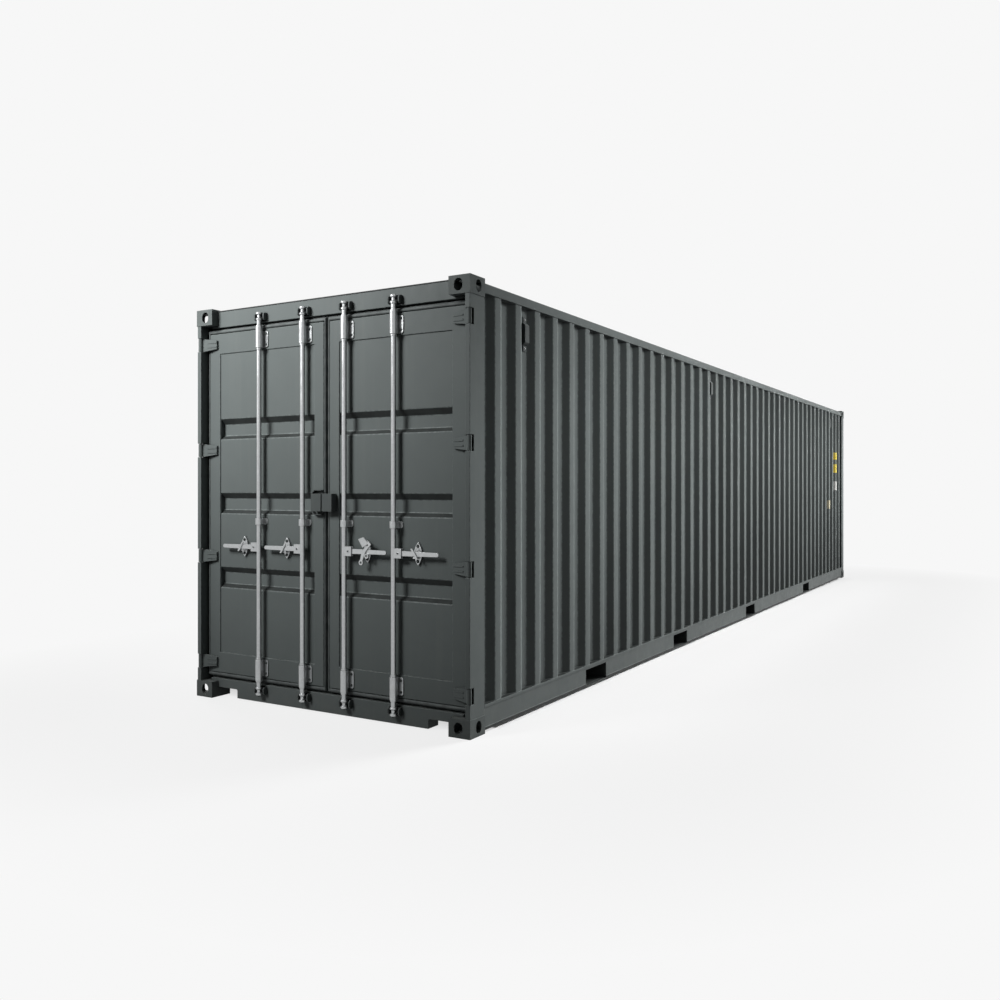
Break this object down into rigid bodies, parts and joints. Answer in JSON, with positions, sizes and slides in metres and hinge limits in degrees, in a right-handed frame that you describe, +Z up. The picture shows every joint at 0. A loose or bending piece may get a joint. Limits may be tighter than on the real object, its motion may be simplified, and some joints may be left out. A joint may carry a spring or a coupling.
{
  "type": "shipping container",
  "caption": "Long high-cube steel freight container with corrugated walls, corner castings, fork pockets and double cargo doors with locking rods.",
  "frame": {"origin": "centre of the footprint, on the ground under the bottom castings", "axes": "+Z up, +Y along the length away from the doors, +X to the right seen from the doors"},
  "size_m": [2.438, 12.192, 2.896],
  "materials": {
    "castings": "satin paint on cast steel",
    "paint": "satin anthracite paint",
    "dark_paint": "satin dark paint",
    "galvanised": "dull galvanised steel",
    "rubber": "matt seal",
    "plywood": "worn plywood",
    "vent": "painted"
  },
  "bodies": {
    "container": {"top_castings": "castings", "bottom_castings": "castings", "door_post_left": "paint", "door_post_right": "paint", "front_posts": "paint", "door_header": "paint", "door_sill": "paint", "front_header": "paint", "front_sill": "paint", "top_rail_left": "paint", "top_rail_right": "paint", "bottom_rail_left": "paint", "bottom_rail_right": "paint", "side_wall_left": "paint", "side_wall_right": "paint", "front_wall": "paint", "roof": "paint", "floor": "plywood", "crossmembers": "dark_paint", "fork_pockets": "dark_paint", "hinge_lugs": "dark_paint", "cam_keepers": "dark_paint", "vents": "vent"},
    "left_door": {"left_door_frame": "paint", "left_door_panel": "paint", "left_door_gasket": "rubber", "left_door_hinges": "dark_paint", "left_rod_bearings": "galvanised", "left_handle_catches": "galvanised", "left_lock_guard": "dark_paint"},
    "right_door": {"right_door_frame": "paint", "right_door_panel": "paint", "right_door_gasket": "rubber", "right_door_hinges": "dark_paint", "right_rod_bearings": "galvanised", "right_handle_catches": "galvanised", "right_lock_box": "dark_paint"},
    "left_inner_rod": {"rod_left_inner": "galvanised"},
    "left_inner_handle": {"handle_left_inner": "galvanised"},
    "left_outer_rod": {"rod_left_outer": "galvanised"},
    "left_outer_handle": {"handle_left_outer": "galvanised"},
    "right_inner_rod": {"rod_right_inner": "galvanised"},
    "right_inner_handle": {"handle_right_inner": "galvanised"},
    "right_outer_rod": {"rod_right_outer": "galvanised"},
    "right_outer_handle": {"handle_right_outer": "galvanised"}
  },
  "joints": [
    {"name": "left_door_swing", "type": "hinge", "parent": "container", "child": "left_door", "pos_m": [-1.199, -6.076, 0], "axis": [0, 0, -1], "range_deg": [0, 250]},
    {"name": "right_door_swing", "type": "hinge", "parent": "container", "child": "right_door", "pos_m": [1.199, -6.076, 0], "axis": [0, 0, 1], "range_deg": [0, 250]},
    {"name": "left_inner_rod_turn", "type": "hinge", "parent": "left_door", "child": "left_inner_rod", "pos_m": [-0.188, -6.068, 0], "axis": [0, 0, -1], "range_deg": [-110, 0]},
    {"name": "left_inner_handle_lift", "type": "hinge", "parent": "left_inner_rod", "child": "left_inner_handle", "pos_m": [-0.23, -6.068, 1.136], "axis": [0, 1, 0], "range_deg": [0, 20]},
    {"name": "left_outer_rod_turn", "type": "hinge", "parent": "left_door", "child": "left_outer_rod", "pos_m": [-0.605, -6.068, 0], "axis": [0, 0, -1], "range_deg": [-110, 0]},
    {"name": "left_outer_handle_lift", "type": "hinge", "parent": "left_outer_rod", "child": "left_outer_handle", "pos_m": [-0.647, -6.068, 1.136], "axis": [0, 1, 0], "range_deg": [0, 20]},
    {"name": "right_inner_rod_turn", "type": "hinge", "parent": "right_door", "child": "right_inner_rod", "pos_m": [0.188, -6.068, 0], "axis": [0, 0, 1], "range_deg": [-110, 0]},
    {"name": "right_inner_handle_lift", "type": "hinge", "parent": "right_inner_rod", "child": "right_inner_handle", "pos_m": [0.23, -6.068, 1.136], "axis": [0, -1, 0], "range_deg": [0, 20]},
    {"name": "right_outer_rod_turn", "type": "hinge", "parent": "right_door", "child": "right_outer_rod", "pos_m": [0.605, -6.068, 0], "axis": [0, 0, 1], "range_deg": [-110, 0]},
    {"name": "right_outer_handle_lift", "type": "hinge", "parent": "right_outer_rod", "child": "right_outer_handle", "pos_m": [0.647, -6.068, 1.136], "axis": [0, -1, 0], "range_deg": [0, 20]}
  ]
}
